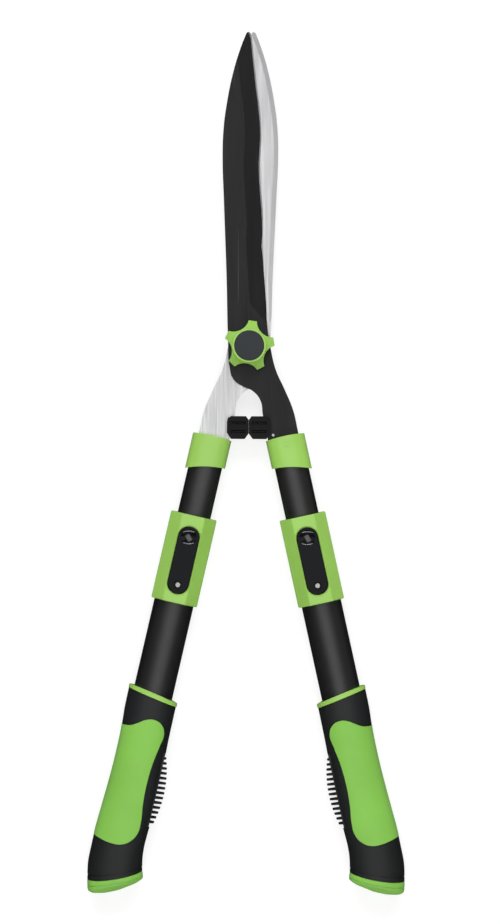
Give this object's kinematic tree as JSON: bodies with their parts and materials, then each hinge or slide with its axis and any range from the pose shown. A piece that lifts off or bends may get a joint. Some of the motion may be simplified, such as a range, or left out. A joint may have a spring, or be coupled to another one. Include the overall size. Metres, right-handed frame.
{
  "type": "telescopic hedge shears",
  "caption": "Hedge shears with long wavy-edged blades, a tension knob at the pivot, rubber buffers and telescopic handles with rocker locks and soft grips.",
  "frame": {"origin": "centre of the back face of the pivot bolt's head, on the pivot axis, in the plane that the shears lie on", "axes": "+Y up the blades to their tips, +X to the right-hand grip seen from the front, +Z out of the front, where the tension knob and the lock levers are"},
  "size_m": [0.254, 0.6895, 0.0306],
  "materials": {
    "coated_steel": "satin black non-stick coating on steel",
    "bright_steel": "ground and polished bare steel",
    "zinc_steel": "zinc-plated steel",
    "spring_steel": "bare spring steel",
    "black_tube": "satin black powder coat",
    "green_plastic": "semi-gloss lime green moulding",
    "green_rubber": "soft matt lime green overmoulding",
    "black_plastic": "fine-grained black moulding",
    "black_rubber": "matt black soft rubber",
    "bumper_rubber": "dense black rubber, slightly glossy",
    "gloss_black": "polished black moulding"
  },
  "bodies": {
    "left_arm": {"rear_blade": "bright_steel", "pivot_bolt": "zinc_steel", "bolt_washer": "zinc_steel", "wave_washer": "spring_steel", "friction_washer": "black_plastic", "left_bumper": "bumper_rubber", "left_bumper_pin": "black_plastic", "left_shank_pin": "zinc_steel", "left_ferrule": "green_plastic", "left_tang_insert": "black_plastic", "left_tang_pin": "zinc_steel", "left_inner_tube": "black_tube", "left_slide_bush": "black_plastic"},
    "right_arm": {"front_blade": "coated_steel", "right_bumper": "bumper_rubber", "right_bumper_pin": "black_plastic", "right_shank_pin": "zinc_steel", "right_ferrule": "green_plastic", "right_tang_insert": "black_plastic", "right_tang_pin": "zinc_steel", "right_inner_tube": "black_tube", "right_slide_bush": "black_plastic"},
    "left_grip": {"left_outer_tube": "black_tube", "left_guide_bush": "black_plastic", "left_lock_housing": "green_plastic", "left_housing_screw": "zinc_steel", "left_lever_pivot_pin": "coated_steel", "left_lever_spring": "spring_steel", "left_grip_ring": "green_plastic", "left_grip_body": "black_rubber", "left_grip_pad": "green_rubber", "left_finger_fins": "black_rubber", "left_end_cap": "green_rubber"},
    "right_grip": {"right_outer_tube": "black_tube", "right_guide_bush": "black_plastic", "right_lock_housing": "green_plastic", "right_housing_screw": "zinc_steel", "right_lever_pivot_pin": "coated_steel", "right_lever_spring": "spring_steel", "right_grip_ring": "green_plastic", "right_grip_body": "black_rubber", "right_grip_pad": "green_rubber", "right_finger_fins": "black_rubber", "right_end_cap": "green_rubber"},
    "left_lock": {"left_lock_lever": "gloss_black", "left_locking_pin": "zinc_steel"},
    "right_lock": {"right_lock_lever": "gloss_black", "right_locking_pin": "zinc_steel"},
    "knob_seat": {"knob_washer": "zinc_steel"},
    "knob": {"tension_knob": "green_plastic", "knob_nut": "zinc_steel", "knob_cap": "black_plastic"}
  },
  "joints": [
    {"name": "blade_pivot", "type": "hinge", "parent": "left_arm", "child": "right_arm", "pos_m": [0, 0, 0.0126], "axis": [0, 0, 1], "range_deg": [0, 50]},
    {"name": "left_telescope", "type": "slide", "parent": "left_arm", "child": "left_grip", "axis": [-0.2192, -0.9757, 0], "range_m": [0, 0.15]},
    {"name": "left_lock_press", "type": "hinge", "parent": "left_grip", "child": "left_lock", "pos_m": [-0.05128, -0.17143, 0.0269], "axis": [-0.9757, 0.2192, 0], "range_deg": [0, 7], "stiffness_Nm_per_rad": 0.36, "springref_deg": -8.59, "deforming": ["left_lever_spring"]},
    {"name": "right_telescope", "type": "slide", "parent": "right_arm", "child": "right_grip", "axis": [0.2192, -0.9757, 0], "range_m": [0, 0.15]},
    {"name": "right_lock_press", "type": "hinge", "parent": "right_grip", "child": "right_lock", "pos_m": [0.05128, -0.17143, 0.0269], "axis": [-0.9757, -0.2192, 0], "range_deg": [0, 7], "stiffness_Nm_per_rad": 0.36, "springref_deg": -8.59, "deforming": ["right_lever_spring"]},
    {"name": "knob_lift", "type": "slide", "parent": "left_arm", "child": "knob_seat", "axis": [0, 0, 1], "range_m": [0, 0.0013]},
    {"name": "knob_turn", "type": "hinge", "parent": "knob_seat", "child": "knob", "pos_m": [0, 0, 0.024], "axis": [0, 0, 1], "range_deg": [0, 360]}
  ],
  "couplings": [
    {"joint": "knob_lift", "follows": "knob_turn", "m_per_rad": 0.00019894}
  ]
}
